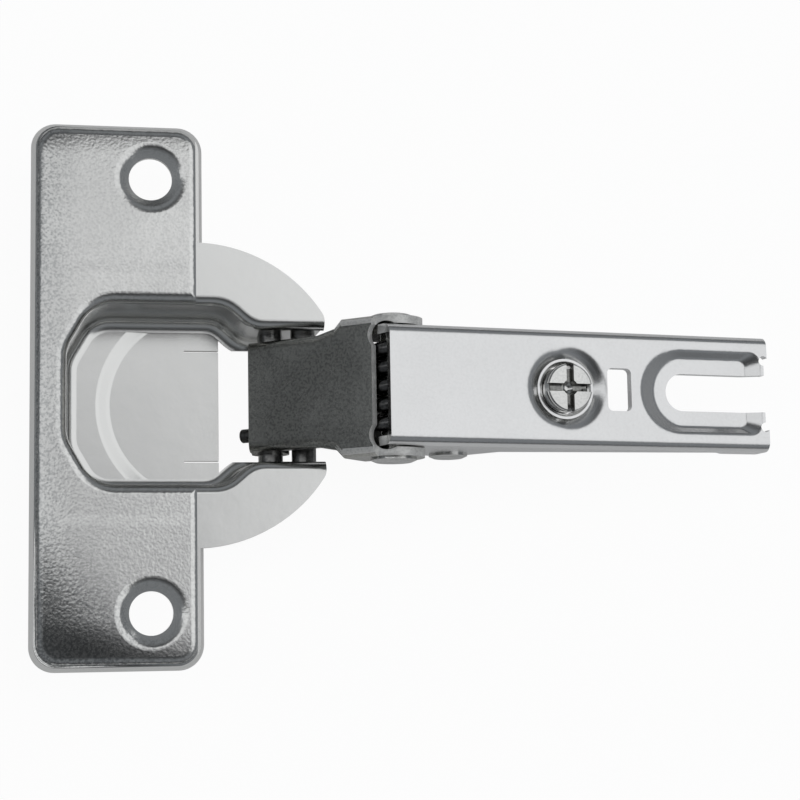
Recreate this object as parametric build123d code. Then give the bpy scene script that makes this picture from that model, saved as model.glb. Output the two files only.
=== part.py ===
"""Concealed cup hinge, all steel, slide-on arm, shown fully open.

Millimetres.  The origin is on the cup's axis, on the face of the door that the flange seats on.
+X runs from the cup towards the arm, +Y along the flange, +Z out of the door.
The arm, the outer link, the inner link and the pins share the pivots named below.
"""
import os
from math import atan2, cos, degrees, hypot, radians, sin

from build123d import *

# ---------------------------------------------------------------- driving dimensions
# Flange and cup, one stamping
cup_sheet = 1.0
flange_length = 65.4
flange_width = 20.4
flange_right_x = 0.95
flange_corner_r = 3.0
flange_rise = 2.0
flange_draft = 0.9
flange_edge_r = 1.2
screw_spacing = 52.0
screw_offset = 5.3
screw_hole_r = 2.6
screw_sink_r = 3.9
screw_sink_depth = 0.9
screw_lip_r = 1.6
screw_seat_gap = 0.5
shoulder_r = 18.4
shoulder_front_x = 15.7
shoulder_corner_r = 1.8
cup_depth = 11.8
shelf_rise = 0.5
cup_left_x = -15.2
cup_half_width = 10.8
chamfer_half_y = 5.3
chamfer_start_x = -12.0
joggle_start_x = 3.6
joggle_end_x = 6.8
joggle_r = 3.8
well_corner_r = 4.5
neck_half_width = 8.0
neck_front_x = 15.3
neck_corner_r = 6.0
cup_lip_r = 1.3
shoulder_lip_r = 1.15
cup_floor_r = 1.6
recess_centre_x = 1.75
recess_top_r = 12.85
recess_run = 1.35
recess_bend_r = 1.3
tongue_half_width = 6.95
tongue_slit_x = -0.3
tongue_front_x = 4.0
slit_width = 0.2

# Pivots, as X and Z with the hinge fully open
link_cup_x = 9.7
link_cup_z = -4.7
inner_cup_x = 13.7
inner_cup_z = -3.9
link_arm_x = 22.8
link_arm_z = 6.8
inner_arm_x = 30.8
inner_arm_z = 0.4
open_pitch = 8.0
boss_meet_angle = 60.0

# Pins and rivets
pin_r = 1.5
arm_rivet_r = 1.6
pin_play = 0.05
link_rivet_head_r = 2.75
arm_rivet_head_r = 2.35
rivet_head_height = 0.5
rivet_head_bevel = 0.6

# Outer link
link_sheet = 1.0
link_neck_half_width = 6.7
link_flare_half_width = 7.3
link_flare_back = 8.1
link_flare_run = 2.5
link_wide_back = 4.6
link_bend_r = 1.3
link_eye_r = 2.3
link_boss_r = 3.7
link_flange_depth = 2.2
link_ear_back = 8.5
link_ear_drop = 1.1
link_hook_run = 0.8
link_relief_r = 1.7
link_relief_depth = 0.5
link_relief_y = 5.9

# Inner link
inner_strip = 1.6
inner_half_width = 5.3
inner_eye_r = 2.3
open_eye_play = 1.2
open_eye_wall = 1.2
open_eye_along = -0.24
open_eye_across = 0.78

# Arm
arm_sheet = 1.1
arm_half_width = 7.15
arm_bend_r = 1.25
arm_front = 1.9
arm_back = 47.7
arm_nose_r = 3.4
arm_boss_r = 2.5
ear_play = 0.15
wall_step = 14.0
wall_front_depth = 6.3
wall_back_depth = 2.6
foot_length = 6.2
foot_depth = 3.8
window_length = 3.15
window_gap = 1.35
window_half_width = 2.6
fork_length = 16.6
fork_setback = 0.8
fork_half_width = 5.2
fork_end_r = 1.6
fork_sink = 0.9
fork_bend_r = 0.9
fork_mouth_r = 1.0
fork_nose_slope = 2.0
fork_end_slope = 2.0
pad_half_width = 4.15
pad_end_r = 1.0
slot_setback = 1.7
slot_half_width = 2.3
prong_step = 0.5
prong_notch_r = 0.6

# Adjusting screw
screw_place = 20.6
screw_r = 2.9
screw_play = 0.06
screw_length = 8.3
screw_proud = 0.7
screw_chamfer = 0.45
screw_neck_r = 1.7
screw_neck_length = 1.6
screw_tip_length = 1.4
cross_width = 0.95
cross_depth = 1.1
cross_centre_r = 1.05
dimple_r = 5.0
dimple_depth = 0.8
dimple_lip_r = 2.5
rim_r = 3.65
rim_width = 0.3
collar_wall = 1.2
collar_depth = 2.2

# Closing spring
wire_r = 0.85
coil_play = 0.15
coil_turns = 4
wire_sides = 8
coil_start_y = -4.5
coil_end_y = 5.0
plate_play = 0.3
link_leg_reach = 2.2
arm_leg_length = 3.2
arm_leg_angle = -2.0
leg_relief = 0.06

# ---------------------------------------------------------------- worked-out sizes
flange_middle_x = flange_right_x - flange_width / 2
floor_z = cup_sheet - cup_depth
shelf_z = floor_z + shelf_rise
link_run_x = link_arm_x - link_cup_x
link_run_z = link_arm_z - link_cup_z
link_length = hypot(link_run_x, link_run_z)
link_slope = degrees(atan2(link_run_z, link_run_x))
inner_run_x = inner_arm_x - inner_cup_x
inner_run_z = inner_arm_z - inner_cup_z
inner_length = hypot(inner_run_x, inner_run_z)
inner_slope = degrees(atan2(inner_run_z, inner_run_x))
coil_r = arm_rivet_r + coil_play + wire_r
coil_outer_r = coil_r + wire_r
plate_inside = coil_outer_r + plate_play
plate_top = plate_inside + link_sheet
arm_inside = coil_outer_r + plate_play
arm_top = arm_inside + arm_sheet
arm_inner_half_width = arm_half_width - arm_sheet
ear_inner_half_width = arm_half_width + ear_play
ear_outer_half_width = ear_inner_half_width + link_sheet
neck_outer_half_width = neck_half_width + cup_sheet
hole_x = -screw_offset
recess_floor_r = recess_top_r - recess_run
fork_end = arm_back - fork_setback
fork_start = fork_end - fork_length
pad_start = fork_start + fork_nose_slope
pad_end = fork_end - fork_end_slope
slot_start = pad_start + slot_setback
window_middle = fork_start - window_gap - window_length / 2
wall_back = arm_back - foot_length
pitch = radians(open_pitch)
boss_meet = sin(radians(boss_meet_angle))
arm_pin_dx = inner_arm_x - link_arm_x
arm_pin_dz = inner_arm_z - link_arm_z
arm_pin_s = arm_pin_dx * cos(pitch) - arm_pin_dz * sin(pitch)
arm_pin_n = arm_pin_dx * sin(pitch) + arm_pin_dz * cos(pitch)


edge_slack = 0.01
upward = (Align.CENTER, Align.CENTER, Align.MIN)
downward = (Align.CENTER, Align.CENTER, Align.MAX)
forward = (Align.MIN, Align.CENTER)


def side_plane(x, z, slope):
    """A plane whose local X runs along a lever and whose local Y points to its outer side."""
    return Plane(origin=(x, 0, z), x_dir=(cos(slope), 0, sin(slope)), z_dir=(0, -1, 0))


link_plane = side_plane(link_cup_x, link_cup_z, radians(link_slope))
inner_plane = side_plane(inner_cup_x, inner_cup_z, radians(inner_slope))
arm_plane = side_plane(link_arm_x, link_arm_z, -pitch)


def top_of(plane, along, height):
    """A plane parallel to a lever's top face, at a distance along it and a height over its axis."""
    origin = plane.from_local_coords(Vector(along, height, 0))
    return Plane(origin=origin, x_dir=plane.x_dir, z_dir=plane.y_dir)


def slab(plane, outline, half_width):
    """An outline drawn on a side plane, thickened equally to both sides."""
    return extrude(plane * outline, amount=half_width, both=True)


def cross_pin(x, z, radius, half_length):
    """A round bar across the hinge."""
    return Plane(origin=(x, -half_length, z), z_dir=(0, 1, 0)) * Cylinder(
        radius, 2 * half_length, align=upward
    )


# ---------------------------------------------------------------- cup and flange
def flange_block(inset, top, edge_r):
    """The flange's outline as a block with drafted sides and rounded upper edges."""
    lean = flange_draft * top / flange_rise
    length = flange_length - 2 * inset
    width = flange_width - 2 * inset
    foot = Pos(flange_middle_x, 0, 0) * RectangleRounded(width, length, flange_corner_r - inset / 2)
    head = Pos(flange_middle_x, 0, top) * RectangleRounded(
        width - 2 * lean, length - 2 * lean, flange_corner_r - inset / 2 - lean / 2
    )
    block = loft([foot, head])
    return fillet(block.edges().group_by(Axis.Z)[-1], edge_r)


def flange_plate():
    """The flange: a shallow pressed tray, hollow underneath, that seats on its rim."""
    outside = flange_block(0, flange_rise, flange_edge_r)
    hollow = flange_block(cup_sheet, flange_rise - cup_sheet, flange_edge_r / 2)
    return outside - hollow


def shoulder():
    """The flat half-disc that covers the edge of the bore on the arm's side."""
    disc = Pos(0, 0) * Circle(shoulder_r)
    front = Pos(shoulder_front_x / 2, 0) * Rectangle(shoulder_front_x, 2 * shoulder_r)
    outline = disc & front
    corners = outline.vertices().group_by(Axis.X)[-1]
    outline = fillet(corners, shoulder_corner_r)
    return extrude(outline, amount=cup_sheet)


def well_outline(grow):
    """Plan of the cup's inside, grown by a wall: wide behind, joggled to a narrow open neck."""
    points = [
        (cup_left_x, chamfer_half_y),
        (chamfer_start_x, cup_half_width),
        (joggle_start_x, cup_half_width),
        (joggle_end_x, neck_half_width),
        (2 * neck_front_x, neck_half_width),
    ]
    mirrored = [(x, -y) for x, y in reversed(points)]
    outline = make_face(Polyline(*points, *mirrored, close=True))
    outline = fillet(outline.vertices().sort_by(Axis.X)[4:-2], joggle_r)
    outline = fillet(outline.vertices().sort_by(Axis.X)[:4], well_corner_r)
    if grow:
        outline = offset(outline, amount=grow, kind=Kind.ARC)
    return outline


def well_space(top, lip_r):
    """The cup's hollow with the rounded lip at its mouth, up to a sheet whose top is given."""
    hollow = extrude(Pos(0, 0, shelf_z) * well_outline(0), amount=top - shelf_z + cup_sheet)
    hollow = fillet(hollow.faces().sort_by(Axis.Z)[0].edges(), cup_floor_r)
    above = Pos(0, 0, top) * Box(
        4 * shoulder_r, 4 * shoulder_r, flange_rise, align=upward
    )
    mouth = hollow + above
    rim = [
        edge
        for edge in mouth.edges()
        if abs(edge.center().Z - top) < edge_slack
        and abs(edge.center().Y) < shoulder_r
        and abs(edge.center().X) < 2 * neck_front_x - edge_slack
    ]
    return fillet(rim, lip_r)


def floor_recess(drop):
    """The round, gently stepped recess that the folded link lies in, lowered by a sheet if asked."""
    reach = 2 * cup_half_width
    profile = make_face(
        Polyline(
            (0, floor_z),
            (recess_floor_r, floor_z),
            (recess_top_r, shelf_z),
            (reach, shelf_z),
            (reach, shelf_z + cup_sheet),
            (0, shelf_z + cup_sheet),
            close=True,
        )
    )
    bends = profile.vertices().filter_by_position(Axis.X, recess_floor_r, recess_top_r)
    profile = fillet(bends, recess_bend_r)
    return Pos(recess_centre_x, 0, -drop) * revolve(Plane.XZ * profile, axis=Axis.Z)


def well_wall():
    """The outside of the cup's wall and floor."""
    bottom = shelf_z - cup_sheet
    wall = extrude(Pos(0, 0, bottom) * well_outline(cup_sheet), amount=cup_sheet - bottom)
    return fillet(wall.faces().sort_by(Axis.Z)[0].edges(), cup_floor_r + cup_sheet)


def cup_body():
    """Flange, shoulder and cup as the one stamping they are."""
    reach = 8 * shoulder_r
    behind = Pos(flange_right_x - flange_draft, 0, 0) * Box(
        reach, reach, reach, align=(Align.MAX, Align.CENTER, Align.CENTER)
    )
    flange_side = well_space(flange_rise, cup_lip_r) & behind
    shoulder_side = well_space(cup_sheet, shoulder_lip_r) - behind
    space = flange_side + shoulder_side
    body = flange_plate() + shoulder() + well_wall()
    sunk = Pos(0, 0, floor_z - 2 * cup_sheet)
    sunk_depth = 2 * cup_sheet + 2 * shelf_rise
    sunk_wall = extrude(sunk * well_outline(cup_sheet - cup_floor_r), amount=sunk_depth)
    sunk_floor = extrude(sunk * well_outline(-cup_floor_r), amount=sunk_depth)
    body = body + (floor_recess(cup_sheet) & sunk_wall)
    return body - space - (floor_recess(0) & sunk_floor)


def floor_cuts():
    """The open front of the floor, and the two slits that free the tongue behind it."""
    reach = 2 * neck_front_x
    width = 2 * tongue_half_width + slit_width
    front = Pos(tongue_front_x, 0, floor_z) * Box(
        reach, width, 4 * cup_sheet, align=(Align.MIN, Align.CENTER, Align.CENTER)
    )
    front = fillet(front.edges().filter_by(Axis.Z).group_by(Axis.X)[0], cup_sheet)
    cuts = front
    for side in (-1, 1):
        slit = Pos(tongue_slit_x, side * tongue_half_width, floor_z) * Box(
            tongue_front_x - tongue_slit_x + cup_sheet,
            slit_width,
            4 * cup_sheet,
            align=(Align.MIN, Align.CENTER, Align.CENTER),
        )
        cuts = cuts + slit
    return cuts


def neck_end():
    """What is trimmed off the neck: its open front and the rounded lower corners of its cheeks."""
    keep = Pos(tongue_front_x, floor_z) * Rectangle(
        neck_front_x - tongue_front_x, cup_depth + flange_rise, align=(Align.MIN, Align.MIN)
    )
    keep = fillet(keep.vertices().group_by(Axis.Y)[0].sort_by(Axis.X)[-1:], neck_corner_r)
    zone = Pos(tongue_front_x, 2 * floor_z) * Rectangle(
        3 * neck_front_x, 4 * cup_depth, align=(Align.MIN, Align.MIN)
    )
    cover = Pos(0, 0) * Rectangle(2 * shoulder_front_x, cup_sheet, align=(Align.CENTER, Align.MIN))
    outline = zone - keep - cover
    return slab(Plane(origin=(0, 0, 0), x_dir=(1, 0, 0), z_dir=(0, -1, 0)), outline, 2 * neck_half_width)


def screw_seat(side):
    """The dished seat of one flange screw, and the cone and hole sunk in it."""
    place = Pos(hole_x, side * screw_spacing / 2, 0)
    seat_r = screw_sink_r + cup_sheet / 2
    seat = place * Pos(0, 0, screw_seat_gap) * Cylinder(
        seat_r, flange_rise - screw_seat_gap, align=upward
    )
    profile = make_face(
        Polyline(
            (0, -flange_rise),
            (screw_hole_r, -flange_rise),
            (screw_hole_r, flange_rise - screw_sink_depth),
            (screw_sink_r, flange_rise),
            (2 * screw_sink_r, flange_rise),
            (2 * screw_sink_r, 2 * flange_rise),
            (0, 2 * flange_rise),
            close=True,
        )
    )
    mouth = profile.vertices().filter_by_position(
        Axis.X, screw_sink_r - edge_slack, screw_sink_r + edge_slack
    )
    profile = fillet(mouth, screw_lip_r)
    return seat, place * revolve(Plane.XZ * profile, axis=Axis.Z)


def make_cup():
    body = cup_body() - floor_cuts() - neck_end()
    for side in (-1, 1):
        seat, sink = screw_seat(side)
        body = body + seat - sink
    for x, z in ((link_cup_x, link_cup_z), (inner_cup_x, inner_cup_z)):
        body = body - cross_pin(x, z, pin_r + pin_play / 2, 2 * neck_outer_half_width)
    return body


# ---------------------------------------------------------------- outer link
def link_side_outline():
    """Side view of the outer link: plate edge, hooked eye at the cup, wide ear, round boss."""
    stop = hypot(inner_cup_x - link_cup_x, inner_cup_z - link_cup_z)
    sweep_in = stop - pin_r - coil_play
    sweep_out = stop + pin_r + plate_play
    flange_low = plate_top - link_flange_depth
    eye = Circle(min(link_eye_r, sweep_in))
    boss = Pos(link_length, 0) * Circle(link_boss_r)
    hook = make_face(
        Polyline(
            (0, plate_top),
            (-link_eye_r, 0),
            (link_eye_r, 0),
            (link_eye_r + link_hook_run, flange_low),
            (sweep_out, flange_low),
            (sweep_out, plate_top),
            close=True,
        )
    )
    ear_start = link_length - link_ear_back
    band = Pos(0, flange_low) * Rectangle(ear_start, link_flange_depth, align=(Align.MIN, Align.MIN))
    ear = make_face(
        Polyline(
            (ear_start, plate_top),
            (ear_start, -link_ear_drop / 3),
            (ear_start + link_ear_drop, -link_ear_drop),
            (link_length - link_boss_r, -link_ear_drop),
            (link_length - link_boss_r / 2, -link_boss_r * boss_meet),
            (link_length, 0),
            (link_length, plate_top),
            close=True,
        )
    )
    return eye + boss + hook + band + ear


def link_plan(inset):
    """Half-and-half plan of the outer link: narrow neck, slanted flare, wide end over the arm."""
    neck = link_neck_half_width - inset
    flare = link_flare_half_width - inset
    wide = ear_outer_half_width - inset
    reach = link_length + 2 * link_boss_r
    points = [
        (-2 * link_boss_r, neck),
        (link_length - link_flare_back, neck),
        (link_length - link_flare_back + link_flare_run, flare),
        (link_length - link_wide_back, wide),
        (reach, wide),
    ]
    mirrored = [(x, -y) for x, y in reversed(points)]
    return make_face(Polyline(*points, *mirrored, close=True))


def link_trough(inset, height):
    """A long bar with the link's plan whose two upper edges are bent round."""
    low = -2 * link_boss_r
    plane = top_of(link_plane, 0, low)
    bar = extrude(plane * link_plan(inset), amount=height - low)
    top = bar.faces().sort_by(Axis(link_plane.origin, link_plane.y_dir))[-1]
    along = link_plane.x_dir
    edges = [edge for edge in top.edges() if abs(edge.tangent_at(0.5).dot(along)) > 0.5]
    return fillet(edges, link_bend_r - inset)


def make_outer_link():
    shell = link_trough(0, plate_top) - link_trough(link_sheet, plate_inside)
    body = shell & slab(link_plane, link_side_outline(), 2 * arm_half_width)
    for x, radius in ((0, pin_r), (link_length, arm_rivet_r)):
        hole = Plane(link_plane.from_local_coords(Vector(x, 0, 0)), z_dir=(0, 1, 0)) * Cylinder(
            radius + pin_play, 4 * arm_half_width
        )
        body = body - hole
    relief_plane = top_of(link_plane, link_length + link_relief_r - link_relief_depth, plate_inside)
    relief = Cylinder(link_relief_r, 4 * link_sheet)
    for side in (-1, 1):
        body = body - relief_plane * Pos(0, side * link_relief_y) * relief
    return body


# ---------------------------------------------------------------- inner link
def make_inner_link():
    """A thick strip curled into an eye at each end; the arm-side eye is the opened pivot."""
    open_hole_r = pin_r + open_eye_play
    open_eye_r = open_hole_r + open_eye_wall
    eye_x = inner_length + open_eye_along
    eye_y = open_eye_across
    cup_eye = Circle(inner_eye_r)
    arm_eye = Pos(eye_x, eye_y) * Circle(open_eye_r)
    strip = make_face(
        Polyline(
            (0, -inner_eye_r),
            (eye_x, eye_y - open_eye_r),
            (eye_x, eye_y - open_eye_r + inner_strip),
            (inner_eye_r, -inner_eye_r + inner_strip),
            (0, -inner_eye_r + inner_strip),
            close=True,
        )
    )
    body = slab(inner_plane, cup_eye + arm_eye + strip, inner_half_width)
    body = body - slab(inner_plane, Circle(pin_r + pin_play), 2 * inner_half_width)
    body = body - slab(inner_plane, Pos(eye_x, eye_y) * Circle(open_hole_r), 2 * inner_half_width)
    return body


# ---------------------------------------------------------------- arm
def arm_side_outline():
    """Side view of the arm: round nose, deep ear for the inner link's pin, shallow wall, foot."""
    nose = make_face(
        Polyline(
            (-arm_front, arm_top),
            (-arm_nose_r, 0),
            (arm_nose_r, 0),
            (arm_nose_r, arm_top),
            close=True,
        )
    )
    wall = make_face(
        Polyline(
            (-arm_front, arm_top),
            (0, -arm_nose_r),
            (arm_pin_s - arm_boss_r / 2, arm_pin_n - arm_boss_r * boss_meet),
            (arm_pin_s + arm_boss_r / 2, arm_pin_n - arm_boss_r * boss_meet),
            (wall_step, arm_top - wall_front_depth),
            (wall_back, arm_top - wall_back_depth),
            (wall_back + foot_depth - wall_back_depth, arm_top - foot_depth),
            (arm_back, arm_top - foot_depth),
            (arm_back, arm_top),
            close=True,
        )
    )
    boss = Pos(arm_pin_s, arm_pin_n) * Circle(arm_boss_r)
    return nose + Circle(arm_nose_r) + wall + boss


def arm_bar(inset, height):
    """A long bar as wide as the arm with its two upper edges bent round."""
    length = arm_back + 2 * arm_nose_r
    width = 2 * (arm_half_width - inset)
    low = arm_pin_n - 2 * arm_boss_r
    base = top_of(arm_plane, arm_back / 2, low)
    bar = base * Box(2 * length, width, height - low, align=upward)
    top = bar.faces().sort_by(Axis(arm_plane.origin, arm_plane.y_dir))[-1]
    edges = [edge for edge in top.edges() if edge.length > length]
    return fillet(edges, arm_bend_r - inset)


def fork_outline(start, end, half_width, end_r):
    """Plan of the fork's recess: round behind, with small corners at the open end."""
    outline = Pos(start + half_width, 0) * Circle(half_width)
    outline = outline + Pos(start + half_width, 0) * Rectangle(
        end - start - half_width, 2 * half_width, align=forward
    )
    return fillet(outline.vertices().group_by(Axis.X)[-1], end_r)


def fork_recess(drop):
    """The recess round the fork slot, with sloping sides and a flat pad, lowered if asked."""
    mouth = fork_outline(fork_start, fork_end, fork_half_width, fork_end_r)
    pad = fork_outline(pad_start, pad_end, pad_half_width, pad_end_r)
    top = top_of(arm_plane, 0, arm_top - drop)
    bottom = top_of(arm_plane, 0, arm_top - drop - fork_sink)
    block = loft([top * mouth, bottom * pad])
    pad_edges = block.edges().group_by(Axis(arm_plane.origin, arm_plane.y_dir))[0]
    return fillet(pad_edges, fork_bend_r)


def fork_hollow():
    """The recess as it is pressed from above, its mouth rounded over into the arm's face."""
    above = top_of(arm_plane, arm_back / 2, arm_top) * Box(
        2 * arm_back, 2 * arm_half_width, arm_top, align=upward
    )
    hollow = fork_recess(0) + above
    rim = []
    for edge in hollow.edges():
        place = arm_plane.to_local_coords(edge.center())
        if abs(place.Y - arm_top) < edge_slack and abs(place.Z) < fork_half_width + edge_slack:
            if fork_start - edge_slack < place.X < fork_end + edge_slack:
                rim.append(edge)
    return fillet(rim, fork_mouth_r)


def fork_slot():
    """The open-ended slot that slips under the mounting plate's screw, and the prongs' notches."""
    reach = arm_back + arm_nose_r
    centre = slot_start + slot_half_width
    outline = Pos(centre, 0) * Circle(slot_half_width)
    outline = outline + Pos((centre + reach) / 2, 0) * Rectangle(reach - centre, 2 * slot_half_width)
    outline = outline + Pos(arm_back - prong_step, 0) * Rectangle(
        reach, 2 * pad_half_width, align=forward
    )
    for side in (-1, 1):
        outline = outline + Pos(arm_back - prong_step, side * pad_half_width) * Circle(prong_notch_r)
    return extrude(top_of(arm_plane, 0, 0) * outline, amount=2 * arm_top)


def screw_collar():
    """The drawn collar that carries the adjusting screw's thread."""
    return top_of(arm_plane, screw_place, arm_inside - collar_depth) * Cylinder(
        screw_r + screw_play + collar_wall, collar_depth + arm_sheet, align=upward
    )


def screw_well():
    """The bell-mouthed dimple, flat rim, lead-in and bore for the adjusting screw."""
    bore_r = screw_r + screw_play
    rim_n = arm_top - dimple_depth
    lead = rim_r - rim_width - bore_r
    profile = make_face(
        Polyline(
            (0, 0),
            (bore_r, 0),
            (bore_r, rim_n - lead),
            (rim_r - rim_width, rim_n),
            (rim_r, rim_n),
            (dimple_r, arm_top),
            (2 * dimple_r, arm_top),
            (2 * dimple_r, 2 * arm_top),
            (0, 2 * arm_top),
            close=True,
        )
    )
    mouth = profile.vertices().filter_by_position(Axis.X, dimple_r - edge_slack, dimple_r + edge_slack)
    profile = fillet(mouth, dimple_lip_r)
    turned = revolve(Plane.XZ * profile, axis=Axis.Z)
    return top_of(arm_plane, screw_place, 0) * turned


def nose_trim():
    """Squares off the front edge of the arm's face between its walls."""
    width = 2 * arm_inner_half_width
    return top_of(arm_plane, -arm_front, 0) * Box(
        arm_nose_r, width, 2 * arm_top, align=(Align.MAX, Align.CENTER, Align.MIN)
    )


def make_arm():
    body = arm_bar(0, arm_top) - arm_bar(arm_sheet, arm_inside)
    body = body & slab(arm_plane, arm_side_outline(), 2 * arm_half_width)
    body = body - nose_trim()
    body = body + fork_recess(arm_sheet) + screw_collar()
    body = body - fork_hollow() - fork_slot() - screw_well()
    window = Pos(window_middle, 0) * RectangleRounded(
        window_length, 2 * window_half_width, window_length / 5
    )
    body = body - extrude(top_of(arm_plane, 0, 0) * window, amount=2 * arm_top)
    for x, y, radius in ((0, 0, arm_rivet_r), (arm_pin_s, arm_pin_n, pin_r)):
        body = body - slab(arm_plane, Pos(x, y) * Circle(radius + pin_play), 2 * arm_half_width)
    return body


# ---------------------------------------------------------------- pins and rivets
def rivet(x, z, radius, half_length, head_r):
    """A pin with a low head on each end, sloped all round."""
    half_height = rivet_head_height / 2
    body = cross_pin(x, z, radius, half_length)
    for side in (-1, 1):
        face = Plane(origin=(x, side * half_length, z), z_dir=(0, side, 0))
        rim = Cylinder(head_r, half_height, align=upward)
        crown = Cone(head_r, head_r - rivet_head_bevel, half_height, align=upward)
        body = body + face * (rim + Pos(0, 0, half_height) * crown)
    return body


def make_cup_pin(x, z):
    return cross_pin(x, z, pin_r, neck_outer_half_width)


# ---------------------------------------------------------------- adjusting screw
def make_adjusting_screw():
    """A screw that stands just proud of its collar, with a cross recess and a grooved tip."""
    plane = top_of(arm_plane, screw_place, arm_top + screw_proud)
    shank = Cylinder(screw_r, screw_length, align=downward)
    shank = chamfer(shank.edges().group_by(Axis.Z)[-1], screw_chamfer)
    neck = Pos(0, 0, -screw_length) * Cylinder(screw_neck_r, screw_neck_length, align=downward)
    tip_top = -screw_length - screw_neck_length
    tip = Pos(0, 0, tip_top) * Cylinder(screw_r, screw_tip_length, align=downward)
    centre = Cone(cross_centre_r / 2, cross_centre_r, cross_depth, align=downward)
    body = shank + neck + tip - centre
    for turn in (0, 90):
        body = body - Rot(0, 0, turn) * Box(2 * screw_r, cross_width, cross_depth, align=downward)
    return plane * body


# ---------------------------------------------------------------- closing spring
def spring_leg(near, far):
    """A straight run of spring wire that starts inside the turn it leaves, a hair thinner than it."""
    along = (far - near).normalized()
    return Plane(origin=near - along * wire_r / 2, z_dir=along) * Cylinder(
        wire_r - leg_relief, (far - near).length + wire_r / 2, align=upward
    )


def make_closing_spring():
    """Torsion spring: turns round the arm rivet, a long leg under the link's plate, a short one."""
    leg_turn = radians(90 - arm_leg_angle)
    turns = coil_turns + leg_turn / radians(360)
    span = coil_end_y - coil_start_y
    start = (link_arm_x, coil_start_y, link_arm_z)
    axis_plane = Plane(origin=start, x_dir=link_plane.y_dir, z_dir=(0, 1, 0))
    path = axis_plane * Helix(span / turns, span, coil_r)
    section = RegularPolygon(wire_r, wire_sides)
    coil = sweep(Plane(origin=path @ 0, z_dir=path % 0) * section, path=path, is_frenet=True)
    link_end = (path @ 0) - link_plane.x_dir * (link_length + link_leg_reach)
    tangent = link_plane.x_dir * cos(leg_turn) - link_plane.y_dir * sin(leg_turn)
    arm_end = (path @ 1) + tangent * arm_leg_length
    return coil + spring_leg(path @ 0, link_end) + spring_leg(path @ 1, arm_end)


def main():
    os.makedirs("parts", exist_ok=True)
    outer_rivet = rivet(
        link_arm_x, link_arm_z, arm_rivet_r, ear_outer_half_width, link_rivet_head_r
    )
    inner_rivet = rivet(inner_arm_x, inner_arm_z, pin_r, arm_half_width, arm_rivet_head_r)
    nodes = {
        "hinge_cup": make_cup(),
        "outer_link": make_outer_link(),
        "inner_link": make_inner_link(),
        "hinge_arm": make_arm(),
        "outer_cup_pin": make_cup_pin(link_cup_x, link_cup_z),
        "inner_cup_pin": make_cup_pin(inner_cup_x, inner_cup_z),
        "outer_arm_rivet": outer_rivet,
        "inner_arm_rivet": inner_rivet,
        "closing_spring": make_closing_spring(),
        "adjusting_screw": make_adjusting_screw(),
    }
    for name, solid in nodes.items():
        export_step(solid, f"parts/{name}.step")


main()
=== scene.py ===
from math import cos, hypot, radians, sin, tau

import bpy
from mathutils import Euler, Matrix, Vector


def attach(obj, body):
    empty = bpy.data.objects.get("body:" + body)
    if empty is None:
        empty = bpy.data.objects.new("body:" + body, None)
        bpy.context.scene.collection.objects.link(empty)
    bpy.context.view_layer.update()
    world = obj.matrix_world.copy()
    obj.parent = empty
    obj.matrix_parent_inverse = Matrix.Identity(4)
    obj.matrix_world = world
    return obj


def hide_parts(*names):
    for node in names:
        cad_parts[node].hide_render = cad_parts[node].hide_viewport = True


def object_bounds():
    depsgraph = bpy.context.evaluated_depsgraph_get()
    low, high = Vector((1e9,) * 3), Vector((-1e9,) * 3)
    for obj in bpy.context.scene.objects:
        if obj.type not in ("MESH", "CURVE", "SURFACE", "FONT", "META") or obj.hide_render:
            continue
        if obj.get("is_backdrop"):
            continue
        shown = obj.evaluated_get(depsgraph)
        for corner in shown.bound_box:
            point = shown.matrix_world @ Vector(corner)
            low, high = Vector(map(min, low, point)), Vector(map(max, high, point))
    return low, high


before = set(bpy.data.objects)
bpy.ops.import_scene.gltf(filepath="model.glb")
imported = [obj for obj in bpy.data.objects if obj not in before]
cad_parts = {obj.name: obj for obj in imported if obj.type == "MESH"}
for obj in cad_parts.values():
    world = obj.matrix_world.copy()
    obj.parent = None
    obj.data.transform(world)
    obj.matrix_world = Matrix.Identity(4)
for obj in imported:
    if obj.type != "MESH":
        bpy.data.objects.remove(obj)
bpy.ops.object.select_all(action="DESELECT")
cad_low, cad_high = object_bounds()

# Camera: square on to the flange from above, a little to the left of the cup and below it,
# with a long lens, so that the arm points to the right.
camera_place = Vector((-0.02279, -0.03247, 0.23741))
camera_turn = Euler((radians(7.748), radians(-11.251), radians(-1.077)), "XYZ")
camera_lens = 90.0

bpy.ops.object.camera_add(location=camera_place, rotation=camera_turn)
camera = bpy.context.object
camera.data.lens = camera_lens
camera.data.sensor_width = 36.0
camera.data.clip_start = 0.001
bpy.context.scene.camera = camera
bpy.context.scene.view_settings.view_transform = "Standard"

# Studio tent round the hinge.  A long pale roof runs over it from the left wall to the right one,
# and spreads towards the right.  Black flags hang along its two long sides over grey walls with a
# dark foot, and the gap for the lens makes a soft dark stripe straight overhead.
roof_left, roof_right = -1.48, 1.22
roof_back, roof_front, roof_spread = 0.33, 0.03, 0.75
roof_soft = 0.07
roof_colour = (0.84, 0.85, 0.86, 1.0)
lowest_way_up = 0.02
wall_stops = [(0.0, 0.11), (0.25, 0.07), (0.40, 0.035), (0.62, 0.035), (0.90, 0.19), (1.0, 0.23)]
wall_tint = (0.97, 1.0, 1.03)
flag_hem = (0.985, 0.58)
low_wall_colour = (0.185, 0.195, 0.205, 1.0)
wall_foot = (0.08, 0.34)
lens_place = (0.035, -0.03)
lens_stretch = 0.40
lens_reach = (0.02, 0.13)
lens_colour = (0.27, 0.27, 0.28, 1.0)


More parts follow.
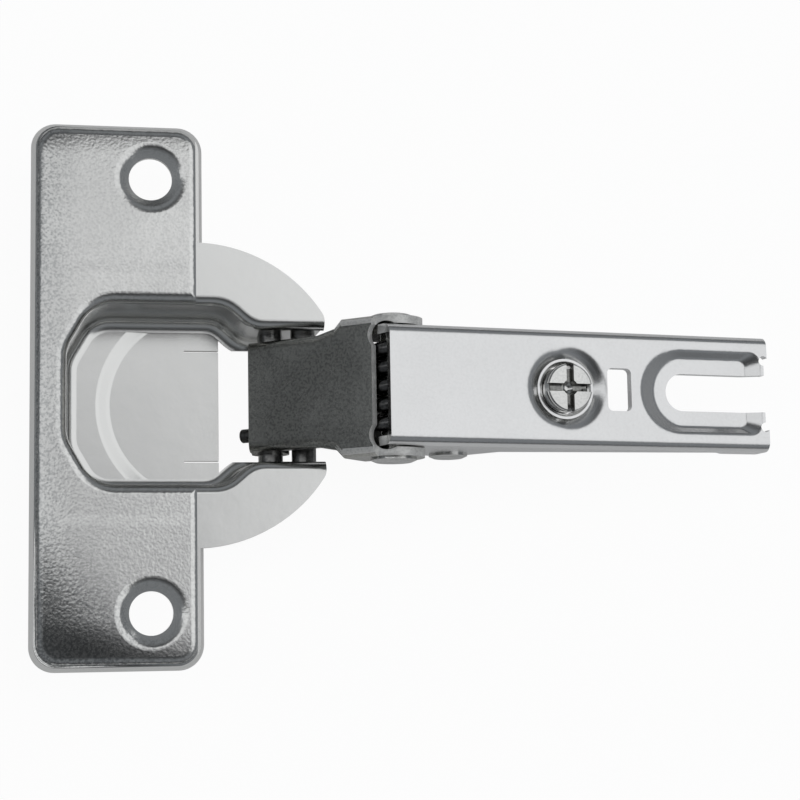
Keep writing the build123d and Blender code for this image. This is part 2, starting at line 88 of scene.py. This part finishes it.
def maths(tree, operation, first, second=0.0):
    """A Math node fed by two sockets or plain numbers."""
    node = tree.nodes.new("ShaderNodeMath")
    node.operation = operation
    for socket, source in zip(node.inputs, (first, second)):
        if isinstance(source, (int, float)):
            socket.default_value = source
        else:
            tree.links.new(source, socket)
    return node.outputs[0]


def smooth_step(tree, value, low, high):
    """A soft step of a value, from 0 at low to 1 at high."""
    node = tree.nodes.new("ShaderNodeMapRange")
    node.interpolation_type = "SMOOTHSTEP"
    node.inputs["From Min"].default_value = low
    node.inputs["From Max"].default_value = high
    tree.links.new(value, node.inputs["Value"])
    return node.outputs["Result"]


def blend_colours(tree, mask, first, second):
    """One colour under another, by a mask; each is a socket or plain colour."""
    node = tree.nodes.new("ShaderNodeMix")
    node.data_type = "RGBA"
    tree.links.new(mask, node.inputs["Factor"])
    for name, source in (("A", first), ("B", second)):
        if isinstance(source, tuple):
            node.inputs[name].default_value = source
        else:
            tree.links.new(source, node.inputs[name])
    return node.outputs["Result"]


world = bpy.data.worlds.new("studio_tent")
bpy.context.scene.world = world
world.use_nodes = True
sky = world.node_tree
sky.nodes.clear()
direction = sky.nodes.new("ShaderNodeTexCoord")
split = sky.nodes.new("ShaderNodeSeparateXYZ")
sky.links.new(direction.outputs["Generated"], split.inputs[0])
upward = maths(sky, "MAXIMUM", split.outputs["Z"], lowest_way_up)
along_roof = maths(sky, "DIVIDE", split.outputs["X"], upward)
across_roof = maths(sky, "DIVIDE", split.outputs["Y"], upward)
spread = maths(sky, "MULTIPLY", maths(sky, "MAXIMUM", along_roof, 0.0), roof_spread)
past_back = maths(sky, "SUBTRACT", across_roof, maths(sky, "ADD", spread, roof_back))
past_front = maths(sky, "ADD", across_roof, maths(sky, "ADD", spread, roof_front))
roof_mask = smooth_step(sky, past_back, roof_soft, -roof_soft)
for edge in (
    smooth_step(sky, past_front, -roof_soft, roof_soft),
    smooth_step(sky, along_roof, roof_left - roof_soft, roof_left + roof_soft),
    smooth_step(sky, along_roof, roof_right + roof_soft, roof_right - roof_soft),
):
    roof_mask = maths(sky, "MULTIPLY", roof_mask, edge)
walls = sky.nodes.new("ShaderNodeValToRGB")
walls.color_ramp.elements.remove(walls.color_ramp.elements[0])
for index, (place, level) in enumerate(wall_stops):
    stop = walls.color_ramp.elements[0] if index == 0 else walls.color_ramp.elements.new(place)
    stop.position = place
    stop.color = (*[level * share for share in wall_tint], 1.0)
left_to_right = sky.nodes.new("ShaderNodeMapRange")
left_to_right.inputs["From Min"].default_value = -1.0
sky.links.new(split.outputs["X"], left_to_right.inputs["Value"])
sky.links.new(left_to_right.outputs["Result"], walls.inputs["Fac"])
off_lens_x = maths(sky, "SUBTRACT", along_roof, lens_place[0])
off_lens_y = maths(sky, "MULTIPLY", maths(sky, "SUBTRACT", across_roof, lens_place[1]), lens_stretch)
off_lens_squared = maths(
    sky, "ADD", maths(sky, "MULTIPLY", off_lens_x, off_lens_x),
    maths(sky, "MULTIPLY", off_lens_y, off_lens_y),
)
lens_mask = smooth_step(sky, maths(sky, "SQRT", off_lens_squared), lens_reach[1], lens_reach[0])
below_flag = smooth_step(sky, split.outputs["Z"], flag_hem[0], flag_hem[1])
above_foot = smooth_step(sky, split.outputs["Z"], wall_foot[0], wall_foot[1])
low_walls = maths(sky, "MULTIPLY", below_flag, above_foot)
tent_colour = blend_colours(sky, low_walls, walls.outputs["Color"], low_wall_colour)
tent_colour = blend_colours(sky, roof_mask, tent_colour, roof_colour)
tent_colour = blend_colours(sky, lens_mask, tent_colour, lens_colour)
tent = sky.nodes.new("ShaderNodeBackground")
white = sky.nodes.new("ShaderNodeBackground")
white.inputs["Color"].default_value = (1.0, 1.0, 1.0, 1.0)
path = sky.nodes.new("ShaderNodeLightPath")
mix = sky.nodes.new("ShaderNodeMixShader")
out = sky.nodes.new("ShaderNodeOutputWorld")
sky.links.new(tent_colour, tent.inputs["Color"])
sky.links.new(path.outputs["Is Camera Ray"], mix.inputs["Fac"])
sky.links.new(tent.outputs[0], mix.inputs[1])
sky.links.new(white.outputs[0], mix.inputs[2])
sky.links.new(mix.outputs[0], out.inputs["Surface"])

# Lamp: one broad disk hung over the arm's far side.  It gives the soft shadow under the flange and
# the arm, and the metal doesn't mirror it.
lamp_place = (0.10, 0.12, 0.55)
lamp_size = 0.35
lamp_power = 0.25

bpy.ops.object.light_add(type="AREA", location=lamp_place)
lamp = bpy.context.object
lamp.data.shape = "DISK"
lamp.data.size = lamp_size
lamp.data.energy = lamp_power
lamp.rotation_euler = Vector(lamp_place).to_track_quat("Z", "Y").to_euler()
lamp.visible_glossy = False

# Floor: a white card just under the cup.  The lens sees it white, with the faint shadow kept, and
# the metal sees a little of that white.
floor_gap = 0.0002
floor_size = 1.6
floor_glow = 0.9
mirror_glow = 0.14
glow_strength = 1.05
paper_colour = (0.85, 0.85, 0.85, 1.0)
paper_roughness, paper_shine = 0.9, 0.1

bpy.ops.mesh.primitive_plane_add(size=floor_size, location=(0.0, 0.0, cad_low[2] - floor_gap))
floor = bpy.context.object
floor.name = "studio_floor"
bpy.ops.object.transform_apply(location=True, rotation=True, scale=True)
card = bpy.data.materials.new("white_card")
card.use_nodes = True
nodes = card.node_tree.nodes
links = card.node_tree.links
paper = nodes["Principled BSDF"]
paper.inputs["Base Color"].default_value = paper_colour
paper.inputs["Roughness"].default_value = paper_roughness
paper.inputs["Specular IOR Level"].default_value = paper_shine
glow = nodes.new("ShaderNodeEmission")
glow.inputs["Strength"].default_value = glow_strength
seen = nodes.new("ShaderNodeLightPath")
blend = nodes.new("ShaderNodeMixShader")
to_lens = maths(card.node_tree, "MULTIPLY", seen.outputs["Is Camera Ray"], floor_glow)
to_metal = maths(card.node_tree, "MULTIPLY", seen.outputs["Is Glossy Ray"], mirror_glow)
links.new(maths(card.node_tree, "ADD", to_lens, to_metal), blend.inputs["Fac"])
links.new(paper.outputs[0], blend.inputs[1])
links.new(glow.outputs[0], blend.inputs[2])
links.new(blend.outputs[0], nodes["Material Output"].inputs["Surface"])
floor.data.materials.append(card)
floor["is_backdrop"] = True


# Cup and flange: one deep-drawn stamping in sheet steel, nickel plated over a pebbled press skin.
# The flange keeps the pebbling, and its colour is darkened along its left margin and lower left
# corner as painted shade for a dark reflection.  The cup's floor and shoulders are ironed smoother.
cup_colour = (0.83, 0.83, 0.815)
cup_speck_colour = (0.70, 0.70, 0.69)
# Painted shade: the flange's left margin and lower left corner are darkened in colour, for a dark
# reflection.
margin_shade_colour = (0.44, 0.45, 0.45)
margin_left, margin_run, margin_left_share = -0.0128, 0.0052, 0.6
margin_corner, margin_corner_run = 0.0195, 0.012
cup_roughness = 0.2
pebble_size = 0.00030
pebble_depth = 0.0145
pebbled_above, pebbled_fade, ironed_share = 0.0014, 0.0003, 0.1
cup_cloud_scale = 110.0
dome_left, dome_low, dome_high, dome_run = -0.0135, -0.0268, 0.0285, 0.0055
dome_left_drop, dome_end_drop = 0.22, 0.40
mouth_middle, mouth_half = (-0.0045, 0.0), (0.0105, 0.0108)
ring_reach, ring_drop = (0.0034, 0.0052), 0.028
corner_way, corner_start, corner_run, corner_drop = (-0.75, -0.66), 0.0215, 0.012, 1.0
sheet_wave = 0.035
cell_scale, cell_share = 0.8, 0.6
speck_steps, patch_steps = (0.40, 0.70), (0.35, 0.65)
speck_share, patch_share = 0.6, 0.4
margin_shade_base = 0.35


def place_node(tree, kind, **values):
    """A node with its named inputs set."""
    node = tree.nodes.new(kind)
    for name, value in values.items():
        node.inputs[name.replace("_", " ")].default_value = value
    return node


def skin_group():
    """Pebbled plating: its height, its dark specks, and a slow clouding, in even round grains."""
    group = bpy.data.node_groups.new("plated_skin", "ShaderNodeTree")
    face = group.interface
    face.new_socket("Grain Scale", in_out="INPUT", socket_type="NodeSocketFloat")
    face.new_socket("Cloud Scale", in_out="INPUT", socket_type="NodeSocketFloat")
    for name in ("Height", "Specks", "Cloud"):
        face.new_socket(name, in_out="OUTPUT", socket_type="NodeSocketFloat")
    start = group.nodes.new("NodeGroupInput")
    end = group.nodes.new("NodeGroupOutput")
    place = group.nodes.new("ShaderNodeTexCoord")
    grain = place_node(group, "ShaderNodeTexNoise", Detail=1.5, Roughness=0.45)
    cells = group.nodes.new("ShaderNodeTexVoronoi")
    cells.feature = "SMOOTH_F1"
    cloud = place_node(group, "ShaderNodeTexNoise", Detail=4.0, Roughness=0.55)
    for node in (grain, cells, cloud):
        group.links.new(place.outputs["Object"], node.inputs["Vector"])
    group.links.new(start.outputs["Grain Scale"], grain.inputs["Scale"])
    finer = maths(group, "MULTIPLY", start.outputs["Grain Scale"], cell_scale)
    group.links.new(finer, cells.inputs["Scale"])
    group.links.new(start.outputs["Cloud Scale"], cloud.inputs["Scale"])
    pits = maths(group, "MULTIPLY", cells.outputs["Distance"], cell_share)
    height = maths(group, "ADD", pits, grain.outputs["Fac"])
    group.links.new(height, end.inputs["Height"])
    group.links.new(smooth_step(group, grain.outputs["Fac"], *speck_steps), end.inputs["Specks"])
    group.links.new(cloud.outputs["Fac"], end.inputs["Cloud"])
    return group


plated_skin = skin_group()


def pressing_group():
    """The flange's gentle pressing in millimetres, a mask of its pebbling, and a mask of its
    margin's painted shade.
    """
    group = bpy.data.node_groups.new("flange_pressing", "ShaderNodeTree")
    for name in ("Height", "Pebbled", "Margin"):
        group.interface.new_socket(name, in_out="OUTPUT", socket_type="NodeSocketFloat")
    end = group.nodes.new("NodeGroupOutput")
    place = group.nodes.new("ShaderNodeTexCoord")
    spot = group.nodes.new("ShaderNodeSeparateXYZ")
    group.links.new(place.outputs["Object"], spot.inputs[0])
    x, y, z = spot.outputs["X"], spot.outputs["Y"], spot.outputs["Z"]
    to_corner = maths(
        group, "ADD", maths(group, "MULTIPLY", x, corner_way[0]),
        maths(group, "MULTIPLY", y, corner_way[1]),
    )
    height = 0.0
    for value, start, stop, drop in (
        (to_corner, corner_start, corner_start + corner_run, corner_drop),
        (x, dome_left, dome_left - dome_run, dome_left_drop),
        (y, dome_low, dome_low - dome_run, dome_end_drop),
        (y, dome_high, dome_high + dome_run, dome_end_drop),
    ):
        ramp = group.nodes.new("ShaderNodeMapRange")
        ramp.inputs["From Min"].default_value = start
        ramp.inputs["From Max"].default_value = stop
        group.links.new(value, ramp.inputs["Value"])
        fall = maths(group, "MULTIPLY", ramp.outputs["Result"], ramp.outputs["Result"])
        height = maths(group, "SUBTRACT", height, maths(group, "MULTIPLY", fall, drop))
    away = 0.0
    for value, middle, half in zip((x, y), mouth_middle, mouth_half):
        off = maths(group, "ABSOLUTE", maths(group, "SUBTRACT", value, middle))
        off = maths(group, "MAXIMUM", maths(group, "SUBTRACT", off, half), 0.0)
        away = maths(group, "ADD", away, maths(group, "MULTIPLY", off, off))
    ring = smooth_step(group, maths(group, "SQRT", away), ring_reach[1], ring_reach[0])
    height = maths(group, "SUBTRACT", height, maths(group, "MULTIPLY", ring, ring_drop))
    raised = smooth_step(group, z, pebbled_above - pebbled_fade, pebbled_above + pebbled_fade)
    at_left = smooth_step(group, x, margin_left, margin_left - margin_run)
    at_corner = smooth_step(group, to_corner, margin_corner, margin_corner + margin_corner_run)
    at_left = maths(group, "MULTIPLY", at_left, margin_left_share)
    margin = maths(group, "MULTIPLY", maths(group, "MAXIMUM", at_left, at_corner), raised)
    group.links.new(margin, end.inputs["Margin"])
    group.links.new(maths(group, "MULTIPLY", height, raised), end.inputs["Height"])
    group.links.new(maths(group, "MAXIMUM", raised, ironed_share), end.inputs["Pebbled"])
    return group


flange_pressing = pressing_group()


def plated_metal(
    name, colour, speck_colour, roughness, grain_size, cloud_scale, depth, wander=0.15, flange=False
):
    """Plated steel whose colour, specks and gloss follow its skin; depth is in millimetres."""
    metal = bpy.data.materials.new(name)
    metal.use_nodes = True
    tree = metal.node_tree
    shader = tree.nodes["Principled BSDF"]
    shader.inputs["Metallic"].default_value = 1.0
    skin = tree.nodes.new("ShaderNodeGroup")
    skin.node_tree = plated_skin
    skin.inputs["Grain Scale"].default_value = 1.0 / grain_size
    skin.inputs["Cloud Scale"].default_value = cloud_scale
    patches = smooth_step(tree, skin.outputs["Cloud"], *patch_steps)
    specks = maths(tree, "MULTIPLY", skin.outputs["Specks"], speck_share)
    clouded = maths(tree, "ADD", specks, maths(tree, "MULTIPLY", patches, patch_share))
    height = maths(tree, "MULTIPLY", skin.outputs["Height"], depth)
    waves = maths(tree, "MULTIPLY", skin.outputs["Cloud"], sheet_wave)
    if flange:
        pressing = tree.nodes.new("ShaderNodeGroup")
        pressing.node_tree = flange_pressing
        clouded = maths(tree, "MULTIPLY", clouded, pressing.outputs["Pebbled"])
        height = maths(tree, "MULTIPLY", height, pressing.outputs["Pebbled"])
        height = maths(tree, "ADD", height, pressing.outputs["Height"])
    height = maths(tree, "ADD", height, waves)
    tone = blend_colours(tree, clouded, (*colour, 1.0), (*speck_colour, 1.0))
    # Painted shade: the colour is darkened along the flange's left margin and lower left corner.
    if flange:
        margin_shade = maths(tree, "ADD", skin.outputs["Specks"], margin_shade_base)
        margin_shade = maths(tree, "MULTIPLY", pressing.outputs["Margin"], margin_shade)
        tone = blend_colours(tree, margin_shade, tone, (*margin_shade_colour, 1.0))
    tree.links.new(tone, shader.inputs["Base Color"])
    gloss = tree.nodes.new("ShaderNodeMapRange")
    gloss.inputs["To Min"].default_value = roughness * (1.0 - wander)
    gloss.inputs["To Max"].default_value = roughness * (1.0 + wander)
    tree.links.new(skin.outputs["Cloud"], gloss.inputs["Value"])
    tree.links.new(gloss.outputs["Result"], shader.inputs["Roughness"])
    relief = tree.nodes.new("ShaderNodeBump")
    relief.inputs["Strength"].default_value = 1.0
    relief.inputs["Distance"].default_value = 0.001
    tree.links.new(height, relief.inputs["Height"])
    tree.links.new(relief.outputs["Normal"], shader.inputs["Normal"])
    return metal


def dress(node, metal):
    """Gives a CAD node one finish."""
    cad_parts[node].data.materials.clear()
    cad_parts[node].data.materials.append(metal)


cup_metal = plated_metal(
    "satin_nickel_cup", cup_colour, cup_speck_colour, cup_roughness,
    grain_size=pebble_size, cloud_scale=cup_cloud_scale, depth=pebble_depth, flange=True,
)
dress("hinge_cup", cup_metal)

# Cup pins: two plain bars of steel wire across the cup's neck, one for each link.  They are pressed
# into the cheeks, and their dark colour is painted shade for the shadow between the cheeks and the
# link.
# Painted shade: a dark colour for pins that sit in shadow.
pin_shade_colour = (0.24, 0.24, 0.235)
pin_shade_speck_colour = (0.12, 0.12, 0.12)
pin_shade_metal = plated_metal(
    "painted_shade_pin", pin_shade_colour, pin_shade_speck_colour, 0.26, grain_size=0.0003, cloud_scale=300.0, depth=0.003
)
for pin in ("outer_cup_pin", "inner_cup_pin"):
    dress(pin, pin_shade_metal)

# Outer link: a bridge of thicker sheet with two ears for the arm's rivet, tumbled and plated.  Its
# dark colour is a darker plate and also painted shade for the dark surroundings it mirrors.  Its cut
# edges are rounded by a hair, and its sheared end and the up-facing rims of its ears get a light
# colour that is bare cut steel and also a painted highlight.
# The link colour is a darker plate and also painted shade for the dark it mirrors.
link_plate_and_shade_colour = (0.50, 0.50, 0.47)
link_plate_and_shade_speck_colour = (0.24, 0.24, 0.23)
# Light edge colour: bare cut steel and also a painted highlight.
edge_and_highlight_colour = (0.90, 0.90, 0.88)
edge_and_highlight_speck_colour = (0.66, 0.66, 0.65)
edge_shine = 0.3
link_edge = 0.00028
weld_gap, flat_turn, corner_turn = 0.000002, 0.6, 35.0
link_rise = Vector((0.75153, 0.0, 0.65970))
link_end_x, ear_y = 0.0195, 0.0072
end_facing, ear_side, ear_up = 0.3, 0.75, 0.1

link = bpy.data.objects.new("link_bridge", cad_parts["outer_link"].data.copy())
bpy.context.scene.collection.objects.link(link)
bpy.ops.object.select_all(action="DESELECT")
link.select_set(True)
bpy.context.view_layer.objects.active = link
bpy.ops.object.mode_set(mode="EDIT")
bpy.ops.mesh.select_all(action="SELECT")
bpy.ops.mesh.remove_doubles(threshold=weld_gap)
bpy.ops.mesh.dissolve_limited(angle_limit=radians(flat_turn))
bpy.ops.object.mode_set(mode="OBJECT")
rounding = link.modifiers.new("rounding", "BEVEL")
rounding.width = link_edge
rounding.segments = 2
rounding.limit_method = "ANGLE"
rounding.angle_limit = radians(corner_turn)
rounding.harden_normals = False
bpy.ops.object.modifier_apply(modifier="rounding")
bpy.ops.object.shade_smooth_by_angle(angle=radians(corner_turn))
flats = link.modifiers.new("flats", "WEIGHTED_NORMAL")
flats.mode = "FACE_AREA"
flats.weight = 90
flats.keep_sharp = True
bpy.ops.object.modifier_apply(modifier="flats")

link_plate_and_shade_metal = plated_metal(
    "dark_plate_and_painted_shade", link_plate_and_shade_colour, link_plate_and_shade_speck_colour, 0.26,
    grain_size=0.00028, cloud_scale=130.0, depth=0.010, wander=0.25,
)
edge_and_highlight_metal = plated_metal(
    "sheared_edge_and_painted_highlight", edge_and_highlight_colour, edge_and_highlight_speck_colour, 0.38,
    grain_size=0.0003, cloud_scale=300.0, depth=0.012,
)
edge_and_highlight_metal.node_tree.nodes["Principled BSDF"].inputs["Metallic"].default_value = edge_shine
link.data.materials.clear()
link.data.materials.append(link_plate_and_shade_metal)
link.data.materials.append(edge_and_highlight_metal)
# The sheared end and the up-facing ear rims take the light colour, bare cut steel and also a painted
# highlight.
for face in link.data.polygons:
    past_ear = abs(face.center.y) > ear_y
    on_end = face.center.x > link_end_x and abs(face.center.y) < ear_y
    on_end = on_end and face.normal.dot(link_rise) > end_facing
    on_ear = past_ear and abs(face.normal.y) < ear_side and face.normal.z > ear_up
    if on_end or on_ear:
        face.material_index = 1
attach(link, "outer_link")
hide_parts("outer_link")
link.select_set(False)

# Inner link: the strip hidden under the bridge, with an eye curled at each end for the second cup
# pin and the second arm rivet.  It has the same dark plate, a little duller.
strip_colour = (0.40, 0.40, 0.39)
strip_speck_colour = (0.24, 0.24, 0.235)
strip_metal = plated_metal(
    "dark_strip", strip_colour, strip_speck_colour, 0.35,
    grain_size=0.0003, cloud_scale=200.0, depth=0.006,
)
dress("inner_link", strip_metal)

# Arm: a channel folded from sheet steel, with the screw's collar, the window and the fork that
# slides on the mounting plate.  It has the cup's satin nickel, finer in grain than the flange.
arm_colour = (0.84, 0.84, 0.84)
arm_speck_colour = (0.80, 0.80, 0.80)
arm_metal = plated_metal(
    "satin_nickel_arm", arm_colour, arm_speck_colour, 0.2,
    grain_size=0.00028, cloud_scale=130.0, depth=0.003,
)
dress("hinge_arm", arm_metal)

# Arm rivets: one for each link, turned in steel and zinc plated.  They pass through the arm's
# walls, and their heads are pressed into low cones.
rivet_colour = (0.66, 0.66, 0.65)
rivet_speck_colour = (0.45, 0.45, 0.44)
rivet_metal = plated_metal(
    "bright_zinc", rivet_colour, rivet_speck_colour, 0.2,
    grain_size=0.0003, cloud_scale=300.0, depth=0.003,
)
for rivet in ("outer_arm_rivet", "inner_arm_rivet"):
    dress(rivet, rivet_metal)

# Closing spring: four turns of oiled black music wire, slipped on the outer link's arm rivet.  A
# long leg lies under the link's plate and a short one reaches under the arm's back.
wire_radius = 0.00085
coil_radius = 0.0026
coil_centre = Vector((0.0228, 0.0, 0.0068))
coil_start_y, coil_end_y = -0.0045, 0.0050
coil_turns = 4 + 92.0 / 360.0
link_normal = Vector((-0.65970, 0.0, 0.75153))
long_leg = 0.01743 + 0.0022
short_leg = 0.0032
leg_lead = 0.001
points_a_turn = 16
wire_turn = 40.0
wire_colour = (0.17, 0.17, 0.17)
wire_speck_colour = (0.06, 0.06, 0.06)


def spring_point(turn):
    """A control point of the coil, a little outside the wire's middle line, which it draws in."""
    reach = coil_radius * 3.0 / (2.0 + cos(tau / points_a_turn))
    angle = tau * turn
    rise = coil_start_y + (coil_end_y - coil_start_y) * turn / coil_turns
    place = coil_centre + reach * (link_normal * cos(angle) + link_rise * sin(angle))
    return Vector((place.x, rise, place.z))


count = round(coil_turns * points_a_turn)
coil = [spring_point(step / points_a_turn) for step in range(count + 1)]
last_angle = tau * coil_turns
leave = link_rise * cos(last_angle) - link_normal * sin(last_angle)
wire_points = [coil[0] - link_rise * long_leg, coil[0] - link_rise * long_leg * 0.5]
wire_points += [coil[0] - link_rise * leg_lead] + coil
wire_points += [coil[-1] + leave * leg_lead, coil[-1] + leave * short_leg]

bpy.ops.curve.primitive_nurbs_path_add()
spring = bpy.context.object
spring.name = "spring_wire"
spring.data.splines.clear()
line = spring.data.splines.new("NURBS")
line.points.add(len(wire_points) - 1)
for point, place in zip(line.points, wire_points):
    point.co = (*place, 1.0)
line.order_u = 4
line.use_endpoint_u = True
spring.data.resolution_u = 3
spring.data.bevel_depth = wire_radius
spring.data.bevel_resolution = 5
spring.data.use_fill_caps = True
spring.location = (0.0, 0.0, 0.0)
bpy.ops.object.convert(target="MESH")
spring = bpy.context.object
bpy.ops.object.transform_apply(location=True, rotation=True, scale=True)
bpy.ops.object.mode_set(mode="EDIT")
bpy.ops.mesh.select_all(action="SELECT")
bpy.ops.mesh.remove_doubles(threshold=weld_gap)
bpy.ops.mesh.normals_make_consistent(inside=False)
bpy.ops.object.mode_set(mode="OBJECT")
bpy.ops.object.shade_smooth_by_angle(angle=radians(wire_turn))
wire_metal = plated_metal(
    "black_wire", wire_colour, wire_speck_colour, 0.28,
    grain_size=0.0003, cloud_scale=300.0, depth=0.004,
)
spring.data.materials.clear()
spring.data.materials.append(wire_metal)
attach(spring, "outer_link")
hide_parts("closing_spring")
spring.select_set(False)

# Adjusting screw: a zinc-plated set screw in the arm's collar, with a cross recess, a rolled thread
# below its head, and a waisted tip that seats in the mounting plate.
screw_top = Vector((0.043972, 0.0, 0.009429))
screw_tilt = 8.0
screw_radius = 0.0029
screw_core = 0.0024
head_height = 0.0009
head_chamfer = 0.00022
thread_pitch, thread_height, thread_rise = 0.0008, 0.00042, 0.0002
thread_turns = 9
neck_radius, neck_top, neck_bottom = 0.0017, -0.0083, -0.0099
tip_radius, tip_bottom = screw_radius - 0.0002, -0.0113
cross_width, cross_depth = 0.00095, 0.0011
cross_heart = 0.00105
cross_ease, heart_drop = 0.3, 0.35
recess_top, recess_foot = -0.00004, -1.02 * cross_depth
recess_reach = screw_radius - 0.0004
screw_colour = (0.80, 0.80, 0.78)
screw_speck_colour = (0.70, 0.70, 0.69)
# Painted shade: the cross recess gets a darker colour for the shade down in the cross.
recess_shade_colour = (0.42, 0.42, 0.40)
recess_shade_speck_colour = (0.24, 0.24, 0.235)

bpy.ops.mesh.primitive_cylinder_add(
    vertices=64, radius=screw_radius, depth=head_height, location=(0.0, 0.0, -head_height / 2)
)
screw = bpy.context.object
screw.name = "set_screw"
bpy.ops.object.transform_apply(location=True, rotation=True, scale=True)


def pick_faces(mesh_object, test):
    """Selects the faces whose centre passes a test, ready for edit mode."""
    bpy.ops.object.mode_set(mode="EDIT")
    bpy.ops.mesh.select_mode(type="FACE")
    bpy.ops.mesh.select_all(action="DESELECT")
    bpy.ops.object.mode_set(mode="OBJECT")
    for face in mesh_object.data.polygons:
        face.select = test(face.center, face.normal)
    bpy.ops.object.mode_set(mode="EDIT")


pick_faces(screw, lambda centre, normal: normal.z < -0.9)
for radius, low, last in (
    (screw_core, -head_height, screw_radius),
    (screw_core, neck_top, screw_core),
    (neck_radius, neck_top, screw_core),
    (neck_radius, neck_bottom, neck_radius),
    (tip_radius, neck_bottom, neck_radius),
    (tip_radius, tip_bottom, tip_radius),
):
    bpy.ops.mesh.extrude_region_move(TRANSFORM_OT_translate={"value": (0.0, 0.0, 0.0)})
    bpy.ops.transform.resize(value=(radius / last, radius / last, 1.0))
    bpy.ops.object.mode_set(mode="OBJECT")
    for corner in {v for face in screw.data.polygons if face.select for v in face.vertices}:
        screw.data.vertices[corner].co.z = low
    bpy.ops.object.mode_set(mode="EDIT")
bpy.ops.object.mode_set(mode="OBJECT")
chamfer = screw.modifiers.new("chamfer", "BEVEL")
chamfer.width = head_chamfer
chamfer.segments = 3
chamfer.limit_method = "ANGLE"
chamfer.angle_limit = radians(60.0)
bpy.ops.object.modifier_apply(modifier="chamfer")

bpy.ops.object.mode_set(mode="EDIT")
bpy.ops.mesh.select_all(action="SELECT")
bpy.ops.mesh.normals_make_consistent(inside=False)
bpy.ops.object.mode_set(mode="OBJECT")


def cutter(width):
    """A long bar for one arm of the cross, with its long edges eased."""
    bpy.ops.mesh.primitive_cube_add(size=1.0, location=(0.0, 0.0, 0.0))
    bar = bpy.context.object
    bar.scale = (4 * screw_radius, width, 2 * cross_depth)
    bpy.ops.object.transform_apply(location=True, rotation=True, scale=True)
    ease = bar.modifiers.new("ease", "BEVEL")
    ease.width = width * cross_ease
    ease.segments = 4
    bpy.ops.object.modifier_apply(modifier="ease")
    return bar


cross = cutter(cross_width)
other_arm = cutter(cross_width)
other_arm.rotation_euler = (0.0, 0.0, radians(90.0))
bpy.ops.object.transform_apply(location=True, rotation=True, scale=True)
bpy.ops.mesh.primitive_uv_sphere_add(
    segments=24, ring_count=12, radius=cross_heart, location=(0.0, 0.0, -cross_depth * heart_drop)
)
heart = bpy.context.object
bpy.ops.object.transform_apply(location=True, rotation=True, scale=True)
for tool in (cross, other_arm, heart):
    cut = screw.modifiers.new("cut", "BOOLEAN")
    cut.operation = "DIFFERENCE"
    cut.solver = "EXACT"
    cut.object = tool
    bpy.context.view_layer.objects.active = screw
    bpy.ops.object.modifier_apply(modifier="cut")
    bpy.data.objects.remove(tool)

bpy.ops.mesh.primitive_circle_add(
    vertices=4, radius=thread_height, location=(screw_core, 0.0, neck_top + thread_rise),
    rotation=(radians(90.0), 0.0, 0.0),
)
thread = bpy.context.object
bpy.ops.object.transform_apply(location=True, rotation=True, scale=True)
winding = thread.modifiers.new("winding", "SCREW")
winding.screw_offset = thread_pitch
winding.iterations = thread_turns
winding.steps = 36
winding.render_steps = 36
bpy.ops.object.modifier_apply(modifier="winding")
bpy.ops.object.mode_set(mode="EDIT")
bpy.ops.mesh.select_all(action="SELECT")
bpy.ops.mesh.normals_make_consistent(inside=False)
bpy.ops.object.mode_set(mode="OBJECT")
screw.select_set(True)
bpy.context.view_layer.objects.active = screw
bpy.ops.object.join()
screw.rotation_euler = (0.0, radians(screw_tilt), 0.0)
screw.location = screw_top
bpy.ops.object.transform_apply(location=True, rotation=True, scale=True)
bpy.ops.object.shade_smooth_by_angle(angle=radians(35.0))
screw_metal = plated_metal(
    "zinc_screw", screw_colour, screw_speck_colour, 0.18,
    grain_size=0.0003, cloud_scale=300.0, depth=0.002,
)
recess_shade_metal = plated_metal(
    "screw_recess_painted_shade", recess_shade_colour, recess_shade_speck_colour, 0.34,
    grain_size=0.0003, cloud_scale=300.0, depth=0.01,
)
screw.data.materials.clear()
screw.data.materials.append(screw_metal)
screw.data.materials.append(recess_shade_metal)
turned_back = Matrix.Rotation(radians(-screw_tilt), 3, "Y")
# Faces down in the cross recess take the darker colour, as painted shade.
for face in screw.data.polygons:
    middle = turned_back @ (face.center - screw_top)
    off_axis = hypot(middle.x, middle.y)
    if recess_foot < middle.z < recess_top and off_axis < recess_reach:
        face.material_index = 1
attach(screw, "adjusting_screw")
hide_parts("adjusting_screw")
screw.select_set(False)

low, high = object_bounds()
